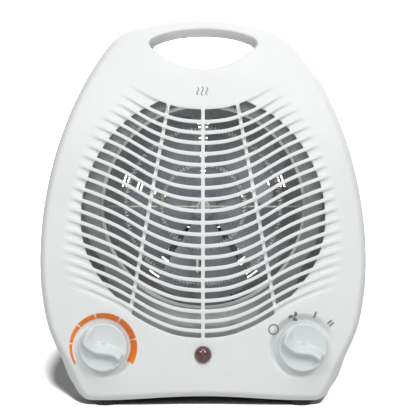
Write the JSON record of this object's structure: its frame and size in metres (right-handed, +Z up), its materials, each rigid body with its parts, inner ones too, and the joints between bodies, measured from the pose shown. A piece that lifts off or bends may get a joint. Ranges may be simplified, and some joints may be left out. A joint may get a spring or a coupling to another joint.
{
  "type": "fan convector heater",
  "caption": "Upright portable fan heater: rounded white casing with a carry handle, curved-bar outlet grille, thermostat knob, heat selector knob, indicator lamp and a corded plug.",
  "frame": {"origin": "on the floor, at the middle of the whole object's box (casing in front, cord hank behind)", "axes": "+Z up, the grille and knobs face -Y, +X is the right side seen from the front"},
  "size_m": [0.221, 0.187, 0.265],
  "materials": {
    "casing_plastic": "satin moulded, cool white, very fine grain",
    "knob_plastic": "satin moulded, cool white",
    "lamp_red": "smooth dark red translucent dome",
    "galvanised_steel": "galvanised sheet, faint spangle",
    "plated_steel": "bright zinc plated",
    "aluminium": "pressed sheet",
    "mica": "layered mica sheet",
    "nichrome": "oxidised resistance wire",
    "rubber": "matt",
    "cord_pvc": "satin flexible sheath",
    "black_plastic": "matt moulded",
    "cream_plastic": "matt moulded",
    "brass": "turned",
    "copper_winding": "enamelled winding under clear tape",
    "lamination_steel": "stacked laminations",
    "wire_red": "insulated wire",
    "wire_white": "glass-sleeved wire",
    "wire_blue": "insulated wire"
  },
  "bodies": {
    "heater_body": {"air_duct": "galvanised_steel", "bearing_bush_front": "brass", "bearing_bush_rear": "brass", "bearing_plate_front": "plated_steel", "bearing_plate_rear": "plated_steel", "bracket_screw_1": "plated_steel", "bracket_screw_2": "plated_steel", "cable_tie": "black_plastic", "case_screw_1": "plated_steel", "case_screw_2": "plated_steel", "case_screw_3": "plated_steel", "case_screw_4": "plated_steel", "case_screw_5": "plated_steel", "case_screw_6": "plated_steel", "cord_bush": "rubber", "cord_clamp": "cream_plastic", "cord_clamp_screw": "plated_steel", "duct_screw_1": "plated_steel", "duct_screw_2": "plated_steel", "front_shell": "casing_plastic", "heating_coil_inner": "nichrome", "heating_coil_outer": "nichrome", "lamp_body": "cream_plastic", "lamp_lens": "lamp_red", "lamp_retainer": "plated_steel", "mains_cord": "cord_pvc", "mains_plug": "cord_pvc", "mica_board_horizontal": "mica", "mica_board_vertical": "mica", "motor_bracket": "plated_steel", "motor_coil": "copper_winding", "motor_screw_1": "plated_steel", "motor_screw_2": "plated_steel", "motor_stator": "lamination_steel", "plug_pin_1": "brass", "plug_pin_2": "brass", "rear_shell": "casing_plastic", "rubber_foot_1": "rubber", "rubber_foot_2": "rubber", "rubber_foot_3": "rubber", "rubber_foot_4": "rubber", "selector_nut": "plated_steel", "selector_switch_body": "black_plastic", "terminal_block": "cream_plastic", "thermal_cutout": "black_plastic", "thermal_fuse": "cream_plastic", "thermostat_bimetal": "brass", "thermostat_body": "cream_plastic", "thermostat_nut": "plated_steel", "wire_heater": "wire_white", "wire_lamp": "wire_red", "wire_motor": "wire_blue"},
    "fan": {"fan_impeller": "aluminium", "fan_hub_nut": "plated_steel", "motor_rotor": "plated_steel", "motor_shaft": "plated_steel"},
    "thermostat_dial": {"thermostat_knob": "knob_plastic", "thermostat_spindle": "brass"},
    "selector_dial": {"selector_knob": "knob_plastic", "selector_spindle": "cream_plastic"}
  },
  "joints": [
    {"name": "fan_spin", "type": "hinge", "parent": "heater_body", "child": "fan", "pos_m": [0, -0.0369, 0.134], "axis": [0, 1, 0], "continuous": true},
    {"name": "thermostat_turn", "type": "hinge", "parent": "heater_body", "child": "thermostat_dial", "pos_m": [-0.066, -0.0849, 0.041], "axis": [0, -1, 0], "range_deg": [-177, 65]},
    {"name": "selector_turn", "type": "hinge", "parent": "heater_body", "child": "selector_dial", "pos_m": [0.066, -0.0849, 0.041], "axis": [0, -1, 0], "range_deg": [-108, 0]}
  ]
}
